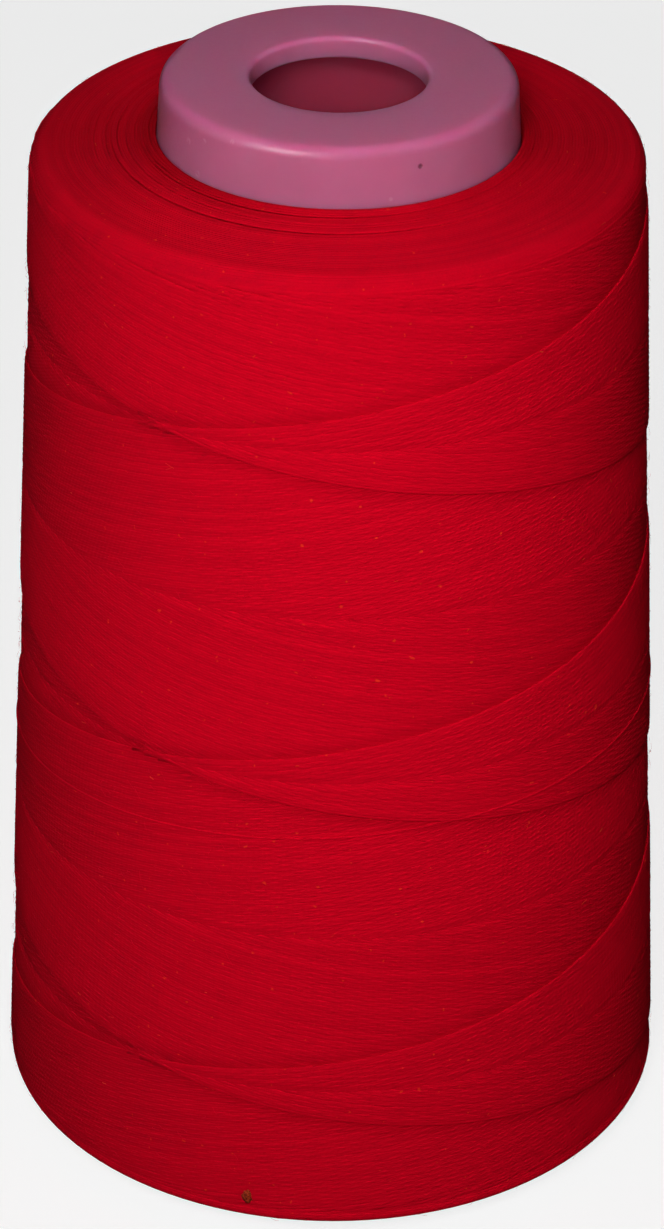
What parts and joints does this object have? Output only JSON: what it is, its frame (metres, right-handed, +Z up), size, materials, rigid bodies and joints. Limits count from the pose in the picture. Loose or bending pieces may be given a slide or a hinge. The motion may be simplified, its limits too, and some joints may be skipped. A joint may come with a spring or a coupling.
{
  "type": "cone of sewing thread",
  "caption": "Cross-wound tapered package of crimson sewing thread on a hollow pink plastic core, whose nose with a round spindle hole stands above the thread.",
  "frame": {"origin": "centre of the core foot's underside, on the surface that the cone stands on", "axes": "+Z up along the winding axis from the foot to the nose, -Y the front, +X to the right"},
  "size_m": [0.068, 0.068, 0.1134],
  "materials": {
    "thread": "matte spun polyester",
    "core_plastic": "translucent satin polypropylene"
  },
  "bodies": {
    "root": {"thread_package": "thread", "plastic_core": "core_plastic"}
  },
  "joints": []
}
